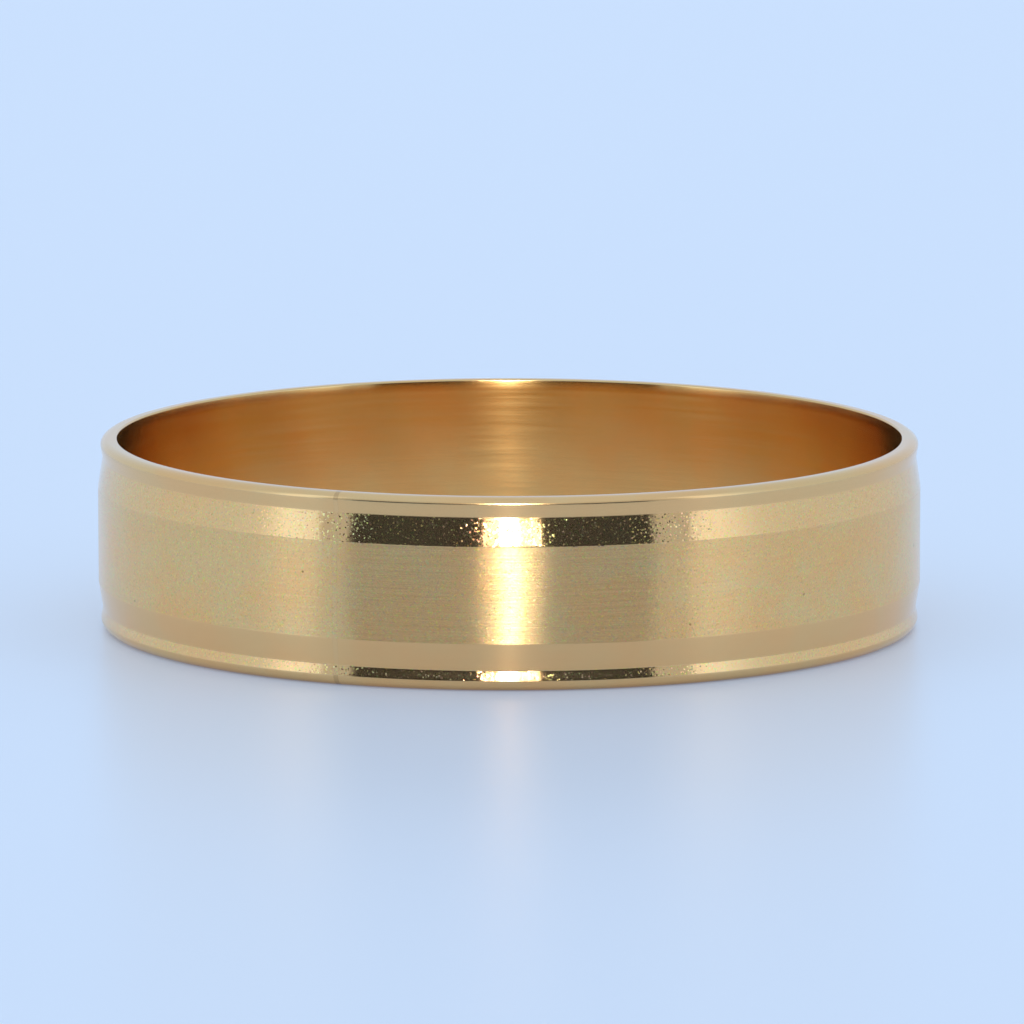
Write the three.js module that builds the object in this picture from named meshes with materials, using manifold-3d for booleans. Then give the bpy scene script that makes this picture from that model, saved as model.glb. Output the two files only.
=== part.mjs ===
// A plain wedding band: a thin, flat gold band with a satin centre field between two bright-cut
// V grooves, one near each edge. It is made from a single strip bent round into a hoop and closed by one
// soldered joint, so it comes apart into two pieces: the hoop, and the solder that fills its joint.
// Units are millimetres. +Z is the ring's own axis. The origin is at the middle of the lower edge, so the
// band lies flat on the plane z = 0, and -Y is its front.

import * as THREE from "three";
import { mergeVertices } from "three/addons/utils/BufferGeometryUtils.js";
import Module from "manifold-3d";

// ---- Driving dimensions ----

const BAND_WIDTH = 4.0; // along the finger
const OUTER_RADIUS = 8.65; // of the satin centre field, which is the widest part
const BORE_RADIUS = 8.25; // finger size: 16.5 mm across the bore

// The V groove near each edge: a wide bright-cut flank falls from the centre field to the valley, and a
// narrow one, the land, rises from it towards the rim. Beyond the land a rounded shoulder leads to the
// flat crest. The two edges are hand finished, so they differ a little: the lower one is rounded more.
// Every depth is measured along Z from its own edge, and the shoulder's run is measured along the radius.
const UPPER_EDGE = { fieldDepth: 1.0, valleyDepth: 0.4, landDepth: 0.15, shoulderRun: 0.2 };
const LOWER_EDGE = { fieldDepth: 0.98, valleyDepth: 0.43, landDepth: 0.22, shoulderRun: 0.24 };
const VALLEY_RADIUS = 8.558;
const LAND_RADIUS = 8.6; // where the land ends and the shoulder begins
const SHOULDER_STEPS = 5;

// The inner corner of each rim, broken by a small radius.
const BORE_CORNER = 0.04;
const CORNER_STEPS = 2;

// The joint, where the two ends of the strip meet.
const JOINT_ANGLE_DEG = -24.375; // round from the front, towards -X
const JOINT_WIDTH = 0.1; // between the two ends of the strip
const SOLDER_CLEARANCE = 0.01; // on each side of the solder

const SEGMENTS = 96; // round the ring, with a vertex on each of the X and Y axes

// ---- Materials ----

const gold = new THREE.MeshStandardMaterial({
  name: "yellow_gold",
  color: 0xe2b878,
  roughness: 0.28,
  metalness: 1.0,
});
const solder = new THREE.MeshStandardMaterial({
  name: "gold_solder",
  color: 0xd9b583,
  roughness: 0.35,
  metalness: 1.0,
});

// ---- Profile ----

// Points of a quarter of an ellipse from one point of the section to another. It leaves the first point
// along the ring's axis and reaches the second along the radius. The first point itself is left out.
function quarterEllipse(from, to, steps) {
  const points = [];
  for (let i = 1; i <= steps; i++) {
    const angle = (i / steps) * (Math.PI / 2);
    const radius = to.x + (from.x - to.x) * Math.cos(angle);
    const depth = from.y + (to.y - from.y) * Math.sin(angle);
    points.push(new THREE.Vector2(radius, depth));
  }
  return points;
}

// One edge of the band's section, from the rim of the centre field down the outside, across the crest at
// depth 0 and round the inner corner to the bore, as (radius, depth from that edge).
function edgeSection(edge) {
  const landEnd = new THREE.Vector2(LAND_RADIUS, edge.landDepth);
  const crestOuter = new THREE.Vector2(LAND_RADIUS - edge.shoulderRun, 0);
  const crestInner = new THREE.Vector2(BORE_RADIUS + BORE_CORNER, 0);
  const boreEnd = new THREE.Vector2(BORE_RADIUS, BORE_CORNER);
  const fromBore = quarterEllipse(boreEnd, crestInner, CORNER_STEPS).reverse();
  return [
    new THREE.Vector2(OUTER_RADIUS, edge.fieldDepth),
    new THREE.Vector2(VALLEY_RADIUS, edge.valleyDepth),
    landEnd,
    ...quarterEllipse(landEnd, crestOuter, SHOULDER_STEPS),
    ...fromBore,
    boreEnd,
  ];
}

// The whole closed section as (radius, z). It goes down the bore and up the outside, so that the faces
// point out once it is turned, and it ends on the point it starts from.
function bandSection() {
  const lower = edgeSection(LOWER_EDGE);
  const upper = edgeSection(UPPER_EDGE).map((p) => new THREE.Vector2(p.x, BAND_WIDTH - p.y));
  const around = [...upper, ...lower.reverse()];
  return [...around, around[0].clone()];
}

// ---- Solids ----

const wasm = await Module();
wasm.setup();

// A closed geometry as a solid that can be cut.
function solidOf(geometry) {
  const bare = geometry.clone();
  bare.deleteAttribute("normal");
  bare.deleteAttribute("uv");
  const merged = mergeVertices(bare, 1e-4);
  return new wasm.Manifold(
    new wasm.Mesh({
      numProp: 3,
      vertProperties: merged.attributes.position.array,
      triVerts: new Uint32Array(merged.index.array),
    }),
  );
}

// A cut solid as a geometry again.
function geometryOf(solid) {
  const mesh = solid.getMesh();
  const geometry = new THREE.BufferGeometry();
  geometry.setAttribute(
    "position",
    new THREE.BufferAttribute(mesh.vertProperties, 3),
  );
  geometry.setIndex(new THREE.BufferAttribute(mesh.triVerts, 1));
  geometry.computeVertexNormals();
  return geometry;
}

// The band as if it had no joint. The lathe turns about Y, so it is stood up on Z.
function wholeRing() {
  const turned = new THREE.LatheGeometry(bandSection(), SEGMENTS);
  return turned.rotateX(Math.PI / 2);
}

// An upright slab across the band's wall at the joint.
function jointSlab(width) {
  const wallRadius = (OUTER_RADIUS + BORE_RADIUS) / 2;
  const reach = 3 * (OUTER_RADIUS - BORE_RADIUS);
  const slab = new THREE.BoxGeometry(width, reach, 2 * BAND_WIDTH);
  slab.translate(0, -wallRadius, BAND_WIDTH / 2);
  return slab.rotateZ(THREE.MathUtils.degToRad(JOINT_ANGLE_DEG));
}

// ---- Assembly ----

const ring = solidOf(wholeRing());
const hoopSolid = ring.subtract(solidOf(jointSlab(JOINT_WIDTH)));
const seamSolid = ring.intersect(
  solidOf(jointSlab(JOINT_WIDTH - 2 * SOLDER_CLEARANCE)),
);

const hoop = new THREE.Mesh(geometryOf(hoopSolid), gold);
hoop.name = "band_hoop";

const seam = new THREE.Mesh(geometryOf(seamSolid), solder);
seam.name = "solder_seam";

const weddingBand = new THREE.Group();
weddingBand.name = "wedding_band";
weddingBand.add(hoop, seam);

export default weddingBand;
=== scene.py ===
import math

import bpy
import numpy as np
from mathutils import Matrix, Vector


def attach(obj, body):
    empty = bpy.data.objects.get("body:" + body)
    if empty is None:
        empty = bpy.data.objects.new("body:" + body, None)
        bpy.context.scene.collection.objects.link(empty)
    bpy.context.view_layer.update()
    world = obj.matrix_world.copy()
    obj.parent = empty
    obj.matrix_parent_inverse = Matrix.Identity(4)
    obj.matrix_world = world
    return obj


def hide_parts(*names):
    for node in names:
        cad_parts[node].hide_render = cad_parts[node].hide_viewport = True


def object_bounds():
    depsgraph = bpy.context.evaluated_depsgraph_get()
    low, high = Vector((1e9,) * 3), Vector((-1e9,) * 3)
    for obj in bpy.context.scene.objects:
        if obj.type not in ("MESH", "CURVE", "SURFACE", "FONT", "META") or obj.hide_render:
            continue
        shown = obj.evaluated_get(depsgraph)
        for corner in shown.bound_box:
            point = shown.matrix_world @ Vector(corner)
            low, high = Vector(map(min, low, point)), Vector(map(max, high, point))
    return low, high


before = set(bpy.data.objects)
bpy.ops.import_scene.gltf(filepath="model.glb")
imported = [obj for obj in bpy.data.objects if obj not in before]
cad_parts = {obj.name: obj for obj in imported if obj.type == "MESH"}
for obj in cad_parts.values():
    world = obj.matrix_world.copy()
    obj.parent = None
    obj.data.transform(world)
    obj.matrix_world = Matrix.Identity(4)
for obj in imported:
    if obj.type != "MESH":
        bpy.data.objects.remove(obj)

# A plain gold wedding band lying on a pale glossy table inside a light box. One side of the box is open,
# and the camera looks in through it. Lamps round and above the lens light the band and not the table.
# Everything is in metres in the CAD frame: +Z is the ring's axis, z = 0 is the table and -Y is the front.
# Angles round the ring are in degrees from the front, positive towards +X.

MM = 0.001
CAD_LOW, CAD_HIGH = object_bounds()

# ---- Sizes, from the frame and from the band's drawing ----

OUTER_RADIUS = CAD_HIGH.x
BAND_WIDTH = CAD_HIGH.z - CAD_LOW.z
WALL = 0.4 * MM
BORE_RADIUS = OUTER_RADIUS - WALL
VALLEY_RADIUS = OUTER_RADIUS - 0.092 * MM
LAND_RADIUS = OUTER_RADIUS - 0.05 * MM
BORE_CORNER = 0.04 * MM
FLANK_BEND = 0.014 * MM  # how far the two bends at the ends of a flank reach
LAND_BEND = 0.008 * MM

# Where the field, the valley and the land end, as depths from that edge, and how far in the crest starts.
UPPER_EDGE = {"field": 1.0 * MM, "valley": 0.4 * MM, "land": 0.15 * MM, "run": 0.2 * MM}
LOWER_EDGE = {"field": 0.98 * MM, "valley": 0.43 * MM, "land": 0.22 * MM, "run": 0.24 * MM}

JOINT_ANGLE = -24.375
JOINT_WIDTH = 0.1 * MM
SOLDER_CLEARANCE = 0.001 * MM

HOOP_SLICES = 841
SOLDER_SLICES = 9

# ---- Camera ----

VIEW_DISTANCE = 30 * OUTER_RADIUS
VIEW_ELEVATION = 8.9
VIEW_HALF_WIDTH = 1.24635 * OUTER_RADIUS  # what the picture takes in at the ring, either side of its middle
VIEW_CENTRE_RIGHT = 0.0066 * OUTER_RADIUS  # where the picture's middle lies from the band's own middle
VIEW_CENTRE_UP = 0.0426 * OUTER_RADIUS
SENSOR_WIDTH = 36.0
CLIP_RANGE = 100  # times nearer and further than the band


def rad(degrees):
    return math.radians(degrees)


def make_camera():
    """A long macro lens, a little above the band and in front of it."""
    data = bpy.data.cameras.new("camera")
    data.sensor_width = SENSOR_WIDTH
    data.lens = SENSOR_WIDTH / 2 * VIEW_DISTANCE / VIEW_HALF_WIDTH
    data.clip_start = VIEW_DISTANCE / CLIP_RANGE
    data.clip_end = VIEW_DISTANCE * CLIP_RANGE
    camera = bpy.data.objects.new("camera", data)
    back = Vector((0, -math.cos(rad(VIEW_ELEVATION)), math.sin(rad(VIEW_ELEVATION))))
    up = Vector((0, math.sin(rad(VIEW_ELEVATION)), math.cos(rad(VIEW_ELEVATION))))
    middle = Vector((0, 0, BAND_WIDTH / 2))
    aim = middle + Vector((VIEW_CENTRE_RIGHT, 0, 0)) + up * VIEW_CENTRE_UP
    camera.location = aim + back * VIEW_DISTANCE
    camera.rotation_mode = "QUATERNION"
    camera.rotation_quaternion = (-back).to_track_quat("-Z", "Y")
    bpy.context.scene.collection.objects.link(camera)
    bpy.context.scene.camera = camera


# ---- The band's section ----

FIELD, CUT, PLAIN_CUT, RIM, BORE = range(5)


def straight(start, end, steps):
    """Points from start up to but not at end."""
    return [start + (end - start) * (i / steps) for i in range(steps)]


def corner(before, at, after, size, steps):
    """Points of a small smooth bend in place of a corner. It starts and ends size away from the corner."""
    start = at + (before - at).normalized() * size
    end = at + (after - at).normalized() * size
    points = []
    for i in range(steps + 1):
        t = i / steps
        points.append(start * (1 - t) ** 2 + at * 2 * t * (1 - t) + end * t**2)
    return points


def quarter_ellipse(start, end, steps):
    """From start, leaving along the axis, to end, reaching it along the radius. Both ends are included."""
    points = []
    for i in range(steps + 1):
        angle = math.pi / 2 * i / steps
        radius = end.x + (start.x - end.x) * math.cos(angle)
        depth = start.y + (end.y - start.y) * math.sin(angle)
        points.append(Vector((radius, depth)))
    return points


def edge_section(edge, flank, land_zone):
    """One edge of the section as [(radius, depth from that edge, zone)].

    It runs from the middle of the field outwards, over the crest and in to the middle of the bore.
    A point's zone is that of the strip that follows it.
    """
    middle = Vector((OUTER_RADIUS, BAND_WIDTH / 2))
    field = Vector((OUTER_RADIUS, edge["field"]))
    valley = Vector((VALLEY_RADIUS, edge["valley"]))
    land = Vector((LAND_RADIUS, edge["land"]))
    crest = Vector((LAND_RADIUS - edge["run"], 0))
    crest_inner = Vector((BORE_RADIUS + BORE_CORNER, 0))
    bore = Vector((BORE_RADIUS, BORE_CORNER))
    bore_middle = Vector((BORE_RADIUS, BAND_WIDTH / 2))
    field_bend = corner(middle, field, valley, FLANK_BEND, steps=4)
    valley_bend = corner(field, valley, land, FLANK_BEND, steps=4)
    shoulder = quarter_ellipse(land, crest, steps=12)
    land_bend = corner(valley, land, shoulder[1], LAND_BEND, steps=2)
    inner = quarter_ellipse(bore, crest_inner, steps=4)[::-1]
    strips = [
        (straight(middle, field_bend[0], steps=10), FIELD),
        (field_bend[:-1], flank),
        (straight(field_bend[-1], valley_bend[0], steps=6), flank),
        (valley_bend[:-1], land_zone),
        (straight(valley_bend[-1], land_bend[0], steps=3), land_zone),
        (land_bend, RIM),
        (shoulder[1:-1], RIM),
        (straight(crest, crest_inner, steps=3), RIM),
        (inner[:-1], RIM),
        (straight(bore, bore_middle, steps=9), BORE),
    ]
    return [(p.x, p.y, zone) for points, zone in strips for p in points]


def band_section():
    """The whole closed section as [(radius, z, zone)].

    It runs up the outside, over the upper edge, down the bore and round the lower edge. A point's zone is
    that of the strip between it and the next point.
    """
    upper = [(r, BAND_WIDTH - depth, zone) for r, depth, zone in edge_section(UPPER_EDGE, CUT, PLAIN_CUT)]
    lower = edge_section(LOWER_EDGE, PLAIN_CUT, CUT)
    bore_middle = (BORE_RADIUS, BAND_WIDTH / 2)
    points = [(r, z) for r, z, _ in upper] + [bore_middle] + [(r, z) for r, z, _ in lower[:0:-1]]
    zones = [zone for _, _, zone in upper] + [zone for _, _, zone in lower[::-1]]
    return [(*point, zone) for point, zone in zip(points, zones, strict=True)]


# ---- Meshes ----

WAVE_HEIGHT = 1.5e-6
LONG_WAVES = 7  # round the ring
SHORT_WAVES = 23


def waviness(turn, height):
    """How far the polished surface falls inside the drawn one, so that highlights wander.

    It lies between 0 and 4 wave heights, which is 6 micrometres. The waves lean a little with height.
    """
    long_wave = np.sin(LONG_WAVES * turn + 1.3 * height / MM)
    short_wave = np.sin(SHORT_WAVES * turn - 2.1 * height / MM + 0.7)
    return WAVE_HEIGHT * (2 + long_wave + short_wave)


def swept_faces(section, around):
    """The faces of a section carried round the axis, and their zones. The two end caps come last."""
    across = len(section)
    faces, zones = [], []
    for i in range(around - 1):
        for j in range(across):
            k = (j + 1) % across
            faces.append((i * across + j, (i + 1) * across + j, (i + 1) * across + k, i * across + k))
            zones.append(section[j][2])
    first_cap = tuple(range(across))
    last_cap = tuple(range((around - 1) * across, around * across))[::-1]
    return faces + [first_cap, last_cap], zones + [BORE, BORE]


def swept_piece(name, section, angles, materials):
    """The section carried round the ring's axis through these angles, with a flat cap at each end."""
    radii = np.array([r for r, _, _ in section])
    heights = np.array([z for _, z, _ in section])
    turn = np.radians(angles)[:, None]
    radii = radii[None, :] - waviness(turn, heights[None, :])
    x = radii * np.sin(turn)
    y = -radii * np.cos(turn)
    z = np.broadcast_to(heights[None, :], x.shape)
    points = np.stack([x, y, z], axis=2).reshape(-1, 3)
    around, across = len(angles), len(section)
    faces, zones = swept_faces(section, around)
    mesh = bpy.data.meshes.new(name)
    mesh.from_pydata(points.tolist(), [], faces)
    for material in materials:
        mesh.materials.append(material)
    mesh.polygons.foreach_set("material_index", zones)
    smooth = [True] * (len(faces) - 2) + [False, False]
    mesh.polygons.foreach_set("use_smooth", smooth)
    for edge in mesh.edges:
        rows = {vertex // across for vertex in edge.vertices}
        edge.use_edge_sharp = rows == {0} or rows == {around - 1}
    # Both pieces take the band's own box as texture space, so that the brushing runs round the same axis.
    mesh.use_auto_texspace = False
    mesh.texspace_location = (0, 0, BAND_WIDTH / 2)
    mesh.texspace_size = (OUTER_RADIUS, OUTER_RADIUS, BAND_WIDTH / 2)
    mesh.update()
    piece = bpy.data.objects.new(name, mesh)
    bpy.context.scene.collection.objects.link(piece)
    return piece


# ---- Materials ----

GOLD = (0.90, 0.54, 0.24)
BORE_GOLD = (0.89, 0.53, 0.195)
RIM_TINT = (0.94, 0.98, 1.0)
SOLDER_TINT = (0.99, 1.02, 1.06)
SOLDER_RIM_TINT = (0.76, 0.76, 0.75)  # the end of the joint, a little duller where it crosses the rims

# Sizes of the patterns: how many times they repeat in a metre along each axis.
BRUSHED = (300, 300, 12000)  # long round the band, fine along its axis
CLOUDY = (550, 550, 650)
GLITTER = (36000, 36000, 36000)
CLOUD_EDGES = (0.35, 0.65)  # the noise at which a cloud starts and is full
GRAIN_EDGES = (0.3, 0.7)  # the noise at which the brushing is smoothest and roughest

ACROSS_THE_BRUSHING = 0.25  # of a turn: the highlight is drawn out along the axis

# The facets that glitter: how many of them, and the stain on each, drawn at random from low to low + range.
GLITTER_SHARE = 0.4
STAIN_LOW = (0.8, 0.84, 0.72)
STAIN_RANGE = (0.3, 0.4, 0.5)
MIDDLE_CHANCE = (0.5, 0.5, 0.5)

# Small dents in the outer face: angle from the front, height and radius.
DENTS = [
    (-38.2, 3.60 * MM, 0.035 * MM),
    (-29.2, 2.32 * MM, 0.030 * MM),
    (25.3, 1.27 * MM, 0.035 * MM),
    (44.5, 1.62 * MM, 0.045 * MM),
    (78.0, 1.95 * MM, 0.040 * MM),
    (-64.0, 1.10 * MM, 0.030 * MM),
    (160.0, 2.60 * MM, 0.040 * MM),
    (-115.0, 1.50 * MM, 0.035 * MM),
]
DENT_DEPTH = 8e-6
DENT_FLOOR = 0.2  # the flat middle of a dent, as a share of its radius
DENT_TINT = (0.35, 0.3, 0.25)
DENT_DARKENING = 0.6  # the middle of each dent is coloured darker: how far it goes towards that tint


class Graph:
    """Short names for the few shader nodes that the materials and the world are made of."""

    def __init__(self, tree):
        self.nodes = tree.nodes
        self.links = tree.links

    def put(self, socket, value):
        """Joins a socket to another node's output, or sets it to a constant."""
        if isinstance(value, bpy.types.NodeSocket):
            self.links.new(value, socket)
        else:
            socket.default_value = value

    def math(self, operation, *values):
        node = self.nodes.new("ShaderNodeMath")
        node.operation = operation
        for socket, value in zip(node.inputs, values, strict=False):
            self.put(socket, value)
        return node.outputs[0]

    def vector(self, operation, first, second=None, third=None):
        node = self.nodes.new("ShaderNodeVectorMath")
        node.operation = operation
        self.put(node.inputs[0], first)
        if second is not None:
            self.put(node.inputs["Scale" if operation == "SCALE" else 1], second)
        if third is not None:
            self.put(node.inputs[2], third)
        return node.outputs["Value" if operation == "DISTANCE" else "Vector"]

    def ramp(self, value, low, high, to_low=0.0, to_high=1.0, smooth=False):
        """The value carried from low..high to to_low..to_high, held at both ends."""
        node = self.nodes.new("ShaderNodeMapRange")
        node.interpolation_type = "SMOOTHSTEP" if smooth else "LINEAR"
        for name, number in (("From Min", low), ("From Max", high), ("To Min", to_low), ("To Max", to_high)):
            node.inputs[name].default_value = number
        self.put(node.inputs["Value"], value)
        return node.outputs[0]

    def blend(self, factor, first, second):
        """From the first colour to the second."""
        node = self.nodes.new("ShaderNodeMix")
        node.data_type = "RGBA"
        self.put(node.inputs["Factor"], factor)
        for socket, colour in ((node.inputs[6], first), (node.inputs[7], second)):
            self.put(socket, colour if isinstance(colour, bpy.types.NodeSocket) else (*colour, 1.0))
        return node.outputs[2]

    def blend_numbers(self, factor, first, second):
        """From the first number to the second."""
        node = self.nodes.new("ShaderNodeMix")
        node.data_type = "FLOAT"
        self.put(node.inputs["Factor"], factor)
        self.put(node.inputs["A"], first)
        self.put(node.inputs["B"], second)
        return node.outputs[0]

    def place(self, scale):
        """The place on the object, in units of 1/scale metres along each axis."""
        where = self.nodes.new("ShaderNodeTexCoord")
        mapping = self.nodes.new("ShaderNodeMapping")
        mapping.inputs["Scale"].default_value = scale
        self.links.new(where.outputs["Object"], mapping.inputs["Vector"])
        return mapping.outputs[0]

    def noise(self, scale, detail, roughness):
        node = self.nodes.new("ShaderNodeTexNoise")
        self.put(node.inputs["Vector"], self.place(scale))
        node.inputs["Scale"].default_value = 1.0
        node.inputs["Detail"].default_value = detail
        node.inputs["Roughness"].default_value = roughness
        return node.outputs[0]

    def facets(self):
        """Small cells: 1 in those that glitter and 0 in the others, and a random colour in each."""
        cells = self.nodes.new("ShaderNodeTexVoronoi")
        self.put(cells.inputs["Vector"], self.place(GLITTER))
        cells.inputs["Scale"].default_value = 1.0
        split = self.nodes.new("ShaderNodeSeparateColor")
        self.links.new(cells.outputs["Color"], split.inputs[0])
        chosen = self.math("GREATER_THAN", split.outputs[0], 1 - GLITTER_SHARE)
        chance = self.nodes.new("ShaderNodeTexWhiteNoise")
        self.links.new(cells.outputs["Position"], chance.inputs["Vector"])
        return chosen, chance.outputs["Color"]

    def dents(self):
        """1 in the middle of each small dent, falling to 0 at its edge."""
        total = None
        for angle, height, radius in DENTS:
            centre = (OUTER_RADIUS * math.sin(rad(angle)), -OUTER_RADIUS * math.cos(rad(angle)), height)
            away = self.vector("DISTANCE", self.place((1, 1, 1)), centre)
            dent = self.ramp(away, DENT_FLOOR * radius, radius, 1.0, 0.0, smooth=True)
            total = dent if total is None else self.math("MAXIMUM", total, dent)
        return total

    def bump(self, height, distance, below=None):
        node = self.nodes.new("ShaderNodeBump")
        node.inputs["Distance"].default_value = distance
        self.put(node.inputs["Height"], height)
        if below is not None:
            self.links.new(below, node.inputs["Normal"])
        return node.outputs[0]

    def leaning(self, normal, chosen, chance, most):
        """The normal, leant at random where chosen is 1. Cubing leaves most leans small and a few large."""
        spread = self.vector("SUBTRACT", chance, MIDDLE_CHANCE)
        cubed = self.vector("MULTIPLY", spread, self.vector("MULTIPLY", spread, spread))
        lean = self.vector("SCALE", cubed, self.math("MULTIPLY", chosen, most))
        return self.vector("NORMALIZE", self.vector("ADD", normal, lean))


def times(colour, factors):
    return tuple(a * b for a, b in zip(colour, factors, strict=True))


def gold_material(
    name, colour, roughness, anisotropy, brushing, clouds, glitter=0.0, scuffs=0.0, dented=False
):
    """Gold brushed or cut round the band.

    brushing is the height of its relief in metres, clouds how strongly its colour drifts, glitter how far
    its facets lean, and scuffs how much the roughness goes up and down with the brushing.
    """
    material = bpy.data.materials.new(name)
    material.use_nodes = True
    graph = Graph(material.node_tree)
    shader = graph.nodes["Principled BSDF"]
    shader.inputs["Metallic"].default_value = 1.0
    shader.inputs["Anisotropic"].default_value = anisotropy
    shader.inputs["Anisotropic Rotation"].default_value = ACROSS_THE_BRUSHING
    tangent = graph.nodes.new("ShaderNodeTangent")
    tangent.direction_type = "RADIAL"
    tangent.axis = "Z"
    graph.put(shader.inputs["Tangent"], tangent.outputs["Tangent"])

    warm = times(colour, (1.02, 1 - 0.08 * clouds, 1 - 0.22 * clouds))
    green = times(colour, (1 - 0.06 * clouds, 1.01, 1.0))
    cloud = graph.ramp(graph.noise(CLOUDY, detail=3.0, roughness=0.6), *CLOUD_EDGES, smooth=True)
    look = graph.blend(cloud, warm, green)
    grain = graph.noise(BRUSHED, detail=3.0, roughness=0.65)
    normal = graph.bump(grain, brushing)

    if scuffs:
        rough = graph.ramp(grain, *GRAIN_EDGES, roughness - scuffs, roughness + scuffs)
        graph.put(shader.inputs["Roughness"], rough)
    else:
        shader.inputs["Roughness"].default_value = roughness
    if glitter:
        chosen, chance = graph.facets()
        stain = graph.vector("MULTIPLY_ADD", chance, STAIN_RANGE, STAIN_LOW)
        look = graph.blend(chosen, look, graph.vector("MULTIPLY", look, stain))
    if dented:
        dents = graph.dents()
        # The middle of each dent is coloured darker, towards the dent tint.
        look = graph.blend(graph.math("MULTIPLY", dents, DENT_DARKENING), look, times(colour, DENT_TINT))
        normal = graph.bump(dents, -DENT_DEPTH, normal)
    if glitter:
        normal = graph.leaning(normal, chosen, chance, glitter)
    graph.put(shader.inputs["Base Color"], look)
    graph.put(shader.inputs["Normal"], normal)
    return material


def finishes(tint, rim_tint):
    """The materials in the order of the zones: the field, the cuts, the plain cuts, the rims and the bore."""
    outside = times(GOLD, tint)
    rim = times(outside, rim_tint)
    bore = times(BORE_GOLD, tint)
    satin = {"roughness": 0.24, "anisotropy": 1.0, "brushing": 4e-6, "clouds": 0.65, "glitter": 0.2}
    bright_cut = {"roughness": 0.10, "anisotropy": 1.0, "brushing": 0.03e-6, "clouds": 0.3, "glitter": 0.6}
    plain_cut = {"roughness": 0.16, "anisotropy": 1.0, "brushing": 0.03e-6, "clouds": 0.3}
    polished = {"roughness": 0.16, "anisotropy": 0.4, "brushing": 0.05e-6, "clouds": 0.5}
    worn = {"roughness": 0.16, "anisotropy": 0.7, "brushing": 0.3e-6, "clouds": 0.5, "scuffs": 0.03}
    return [
        gold_material("satin", outside, **satin, dented=True),
        gold_material("bright_cut", outside, **bright_cut),
        gold_material("plain_cut", outside, **plain_cut),
        gold_material("polished", rim, **polished),
        gold_material("bore", bore, **worn),
    ]


# ---- Stage ----

TABLE_HALF_SIZE = 3.0
TABLE_COLOUR = (0.60, 0.64, 0.66, 1.0)
TABLE_GLOW = (0.128, 0.152, 0.215, 1.0)  # a small even glow of its own
TABLE_ROUGHNESS = 0.32
TABLE_IOR = 1.62

LAMP_DISTANCE = 0.3
LAMP_ELEVATION = 18.0
LAMP_HEIGHT = 24.0  # degrees as seen from the band, like the widths below
LAMP_COLOUR = (1.0, 0.97, 0.93)
# Name, azimuth, width and radiance.
LAMPS = [("lamp", 0.3, 4.8, 23.0), ("surround", 0.7, 15.5, 4.4)]
# Most of their light shows only where it falls directly, so that the table hardly mirrors the highlight.
# Name, share of the light, and whether it is only direct.
LAMP_SHARES = [("front", 0.87, True), ("all_round", 0.13, False)]

BOX_TINT = (0.63, 0.78, 1.0, 1.0)
BOX_GAIN = 2.0  # the colour ramp holds the brightness divided by this, which keeps it below 1
# How bright the box is all round, as (azimuth, brightness): dark through the opening in front, which has a
# dimmer frame and then a bright strip on each side, and even behind.
BOX_BRIGHTNESS = [
    (-180, 1.0), (-110, 0.97), (-85, 1.0), (-74, 1.1), (-64, 1.7), (-57, 1.55), (-54.5, 1.3),
    (-53.5, 0.80), (-45.5, 0.78), (-44.8, 0.0),
    (40.4, 0.0), (41.0, 0.78), (51.0, 0.80),
    (52.0, 1.3), (56, 1.6), (62, 1.55), (74, 1.1), (85, 1.0), (110, 0.97), (180, 1.0),
]
OPENING_TOP = (15.0, 21.0)  # elevations between which the dark opening gives way to the wall above it
OVER_OPENING = 0.85
ROOF = (40.0, 50.0)  # elevations between which the walls give way to the roof, which is even
HORIZON = -0.5  # below this elevation the box is even too
STRAY_LIGHT = 0.035  # added in every direction, so the opening is not quite black


def make_floor():
    """A plain pale table, the same all over."""
    corners = [(-1, -1), (1, -1), (1, 1), (-1, 1)]
    points = [(x * TABLE_HALF_SIZE, y * TABLE_HALF_SIZE, 0) for x, y in corners]
    mesh = bpy.data.meshes.new("table")
    mesh.from_pydata(points, [], [(0, 1, 2, 3)])
    floor = bpy.data.objects.new("table", mesh)
    bpy.context.scene.collection.objects.link(floor)
    material = bpy.data.materials.new("pale_table")
    material.use_nodes = True
    shader = material.node_tree.nodes["Principled BSDF"]
    shader.inputs["Base Color"].default_value = TABLE_COLOUR
    shader.inputs["Roughness"].default_value = TABLE_ROUGHNESS
    shader.inputs["IOR"].default_value = TABLE_IOR
    shader.inputs["Emission Color"].default_value = TABLE_GLOW
    shader.inputs["Emission Strength"].default_value = 1.0
    mesh.materials.append(material)


def make_lamp(name, azimuth, width, radiance, lit, direct_only):
    """A lamp seen from the band round and above the lens. It lights only these pieces."""
    data = bpy.data.lights.new(name, "AREA")
    data.shape = "RECTANGLE"
    data.size = 2 * LAMP_DISTANCE * math.tan(rad(width / 2))
    data.size_y = 2 * LAMP_DISTANCE * math.tan(rad(LAMP_HEIGHT / 2))
    data.energy = radiance * math.pi * data.size * data.size_y
    data.color = LAMP_COLOUR
    lamp = bpy.data.objects.new(name, data)
    right = math.sin(rad(azimuth)) * math.cos(rad(LAMP_ELEVATION))
    front = math.cos(rad(azimuth)) * math.cos(rad(LAMP_ELEVATION))
    away = Vector((right, -front, math.sin(rad(LAMP_ELEVATION))))
    lamp.location = Vector((0, 0, BAND_WIDTH / 2)) + away * LAMP_DISTANCE
    lamp.rotation_mode = "QUATERNION"
    lamp.rotation_quaternion = (-away).to_track_quat("-Z", "Y")
    lamp.visible_camera = False
    if direct_only:
        data.cycles.max_bounces = 0
        data.cycles.use_multiple_importance_sampling = False
    bpy.context.scene.collection.objects.link(lamp)
    group = bpy.data.collections.new("lit_by_" + name)
    for piece in lit:
        group.objects.link(piece)
    lamp.light_linking.receiver_collection = group


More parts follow.
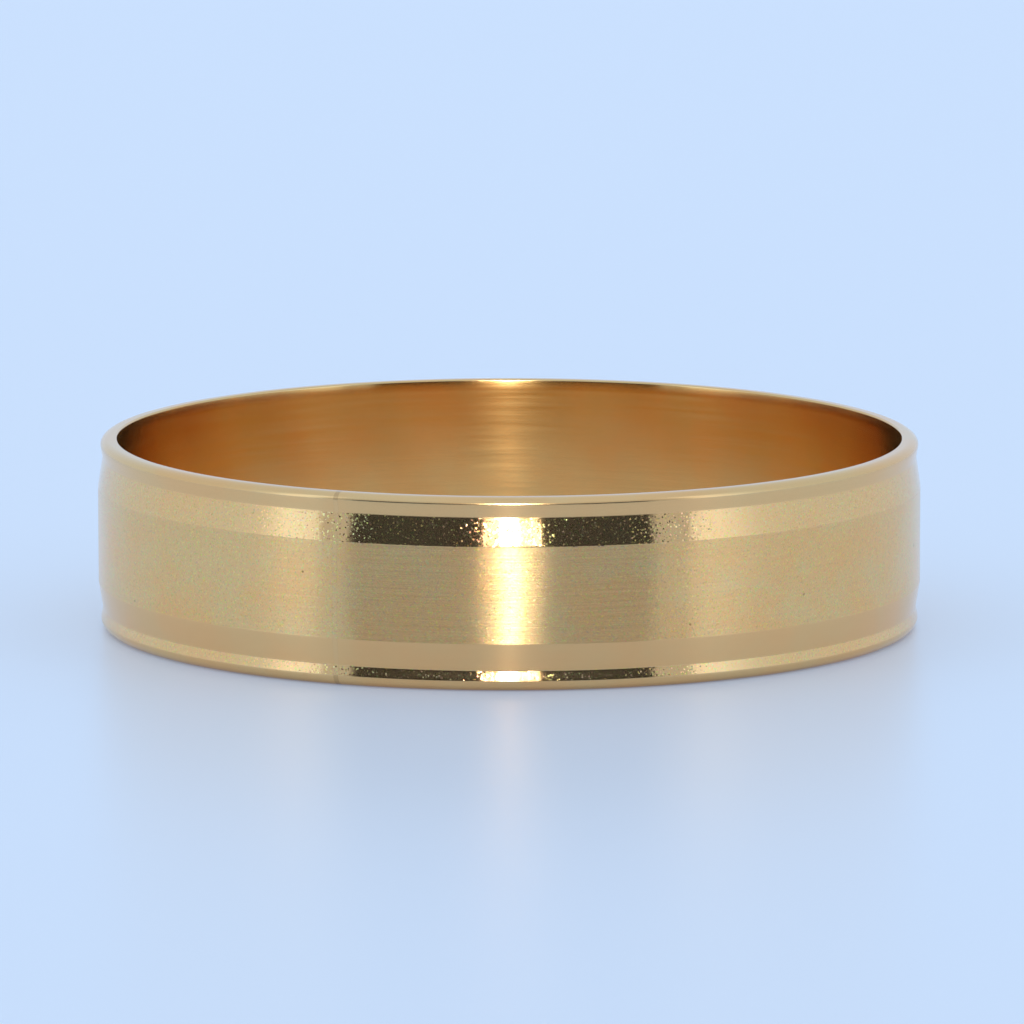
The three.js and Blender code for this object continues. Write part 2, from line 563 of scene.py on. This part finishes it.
def make_world():
    """The light box. Its opening is seen in reflections, and the camera sees the plain tint of the walls."""
    world = bpy.data.worlds.new("light_box")
    bpy.context.scene.world = world
    world.use_nodes = True
    graph = Graph(world.node_tree)
    graph.nodes.clear()

    place = graph.nodes.new("ShaderNodeTexCoord")
    split = graph.nodes.new("ShaderNodeSeparateXYZ")
    graph.links.new(place.outputs["Generated"], split.inputs[0])
    x, y, z = split.outputs
    azimuth = graph.math("DEGREES", graph.math("ARCTAN2", x, graph.math("MULTIPLY", y, -1.0)))
    elevation = graph.math("DEGREES", graph.math("ARCSINE", z))

    ramp = graph.nodes.new("ShaderNodeValToRGB")
    half_turns = graph.math("ADD", graph.math("DIVIDE", azimuth, 180.0), 1.0)
    graph.links.new(graph.math("DIVIDE", half_turns, 2.0), ramp.inputs[0])
    elements = ramp.color_ramp.elements
    for i, (angle, brightness) in enumerate(BOX_BRIGHTNESS):
        position = (angle + 180) / 360
        element = elements[i] if i < 2 else elements.new(position)
        element.position = position
        grey = brightness / BOX_GAIN
        element.color = (grey, grey, grey, 1)

    over_opening = graph.ramp(elevation, *OPENING_TOP, to_high=OVER_OPENING)
    walls = graph.math("MAXIMUM", graph.math("MULTIPLY", ramp.outputs["Color"], BOX_GAIN), over_opening)
    over_table = graph.blend_numbers(graph.ramp(elevation, *ROOF), walls, 1.0)
    box = graph.blend_numbers(graph.math("GREATER_THAN", elevation, HORIZON), 1.0, over_table)

    reflected = graph.nodes.new("ShaderNodeBackground")
    reflected.inputs["Color"].default_value = BOX_TINT
    graph.put(reflected.inputs["Strength"], graph.math("ADD", box, STRAY_LIGHT))
    plain = graph.nodes.new("ShaderNodeBackground")
    plain.inputs["Color"].default_value = BOX_TINT
    rays = graph.nodes.new("ShaderNodeLightPath")
    mix = graph.nodes.new("ShaderNodeMixShader")
    graph.links.new(rays.outputs["Is Camera Ray"], mix.inputs[0])
    graph.links.new(reflected.outputs[0], mix.inputs[1])
    graph.links.new(plain.outputs[0], mix.inputs[2])
    out = graph.nodes.new("ShaderNodeOutputWorld")
    graph.links.new(mix.outputs[0], out.inputs["Surface"])


# ---- Making the scene ----

bpy.context.scene.view_settings.view_transform = "Standard"
make_camera()
make_world()
make_floor()

section = band_section()
half_joint = math.degrees(JOINT_WIDTH / 2 / (OUTER_RADIUS - WALL / 2))
hoop_angles = np.linspace(JOINT_ANGLE + half_joint, JOINT_ANGLE + 360 - half_joint, HOOP_SLICES)
hoop = swept_piece("hoop", section, hoop_angles, finishes((1, 1, 1), RIM_TINT))
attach(hoop, "root")
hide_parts("band_hoop")

half_solder = half_joint * (1 - 2 * SOLDER_CLEARANCE / JOINT_WIDTH)
solder_angles = np.linspace(JOINT_ANGLE - half_solder, JOINT_ANGLE + half_solder, SOLDER_SLICES)
solder = swept_piece("solder", section, solder_angles, finishes(SOLDER_TINT, SOLDER_RIM_TINT))
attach(solder, "root")
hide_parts("solder_seam")

for part, share, direct_only in LAMP_SHARES:
    for lamp, azimuth, width, radiance in LAMPS:
        make_lamp(f"{lamp}_{part}", azimuth, width, radiance * share, [hoop, solder], direct_only)
